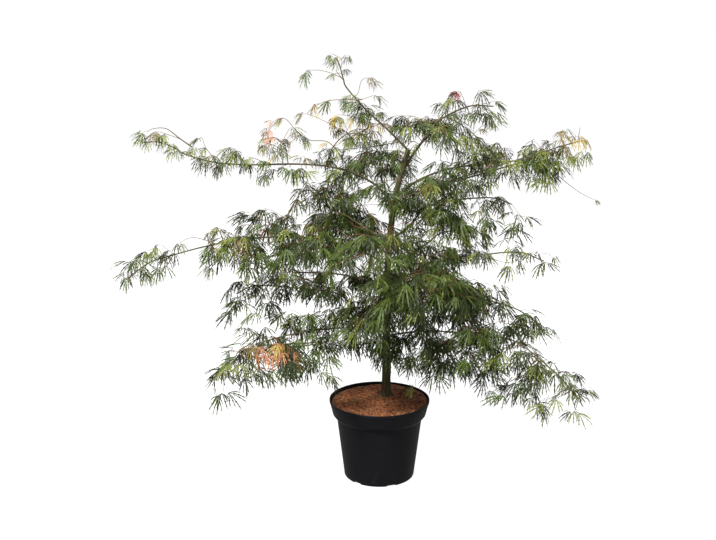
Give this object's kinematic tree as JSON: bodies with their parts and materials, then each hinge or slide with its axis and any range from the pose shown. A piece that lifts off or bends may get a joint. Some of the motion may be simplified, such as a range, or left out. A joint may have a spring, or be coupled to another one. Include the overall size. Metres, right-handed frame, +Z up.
{
  "type": "potted laceleaf japanese maple",
  "caption": "Young laceleaf maple with an upright stem, long arching boughs and drooping finely cut foliage, standing in a round nursery pot of bark compost.",
  "frame": {"origin": "centre of the pot's flat underside", "axes": "+Z up along the pot's axis, +X to the right and +Y to the back, seen from the side the plant faces"},
  "size_m": [1.4837, 0.9063, 1.3894],
  "materials": {
    "pot": "satin black injection-moulded polypropylene",
    "compost": "loose reddish bark and coir mulch",
    "bark": "smooth young maple bark, green brown with pale lenticels",
    "twig": "thin olive to red brown twigs",
    "leaf_deep": "shaded mature leaf, dark green",
    "leaf_green": "mature leaf, mid green",
    "leaf_fresh": "young leaf, yellow green",
    "leaf_bronze": "olive leaf flushed with bronze",
    "leaf_gold": "turning leaf, yellow",
    "leaf_orange": "turning leaf, orange",
    "leaf_red": "young or turning leaf, dull red"
  },
  "bodies": {
    "root": {"bough_back_left": "bark", "bough_back_right": "bark", "bough_back_upper": "bark", "bough_bottom_left": "bark", "bough_bottom_right": "bark", "bough_front_left": "bark", "bough_front_right": "bark", "bough_leader": "bark", "bough_low_left": "bark", "bough_lower_right": "bark", "bough_middle_left": "bark", "bough_right_limb": "bark", "bough_right_low": "bark", "bough_right_mid": "bark", "bough_upper_left": "bark", "bough_upper_right": "bark", "compost": "compost", "foliage_back_left_outer": "leaf_green", "foliage_back_left_upper": "leaf_green", "foliage_back_right_low": "leaf_green", "foliage_back_right_outer": "leaf_green", "foliage_back_upper_outer": "leaf_green", "foliage_bottom_left_inner": "leaf_green", "foliage_bottom_left_tip": "leaf_green", "foliage_bottom_right_inner": "leaf_green", "foliage_bottom_right_middle": "leaf_green", "foliage_bottom_right_tip": "leaf_green", "foliage_front_left_outer": "leaf_green", "foliage_front_right_low": "leaf_green", "foliage_front_right_outer": "leaf_green", "foliage_leader_crest": "leaf_fresh", "foliage_leader_left_spray": "leaf_fresh", "foliage_leader_side_tuft": "leaf_gold", "foliage_leader_top_tuft": "leaf_fresh", "foliage_low_left_inner": "leaf_green", "foliage_low_left_outer": "leaf_green", "foliage_lower_right_inner": "leaf_green", "foliage_lower_right_outer": "leaf_green", "foliage_middle_left_inner": "leaf_green", "foliage_middle_left_outer": "leaf_green", "foliage_middle_left_shoulder": "leaf_green", "foliage_middle_left_tip": "leaf_green", "foliage_right_limb_left": "leaf_green", "foliage_right_limb_top": "leaf_fresh", "foliage_right_limb_under": "leaf_green", "foliage_right_low_inner": "leaf_green", "foliage_right_low_outer": "leaf_green", "foliage_right_mid_inner": "leaf_green", "foliage_right_mid_outer": "leaf_green", "foliage_upper_left_arc": "leaf_gold", "foliage_upper_left_cluster": "leaf_fresh", "foliage_upper_left_fringe": "leaf_green", "foliage_upper_left_gold": "leaf_gold", "foliage_upper_left_tip": "leaf_fresh", "foliage_upper_right_fringe": "leaf_green", "foliage_upper_right_inner": "leaf_green", "foliage_upper_right_whip": "leaf_fresh", "foliage_upper_right_whip_tip": "leaf_gold", "pot": "pot", "trunk": "bark"}
  },
  "joints": []
}
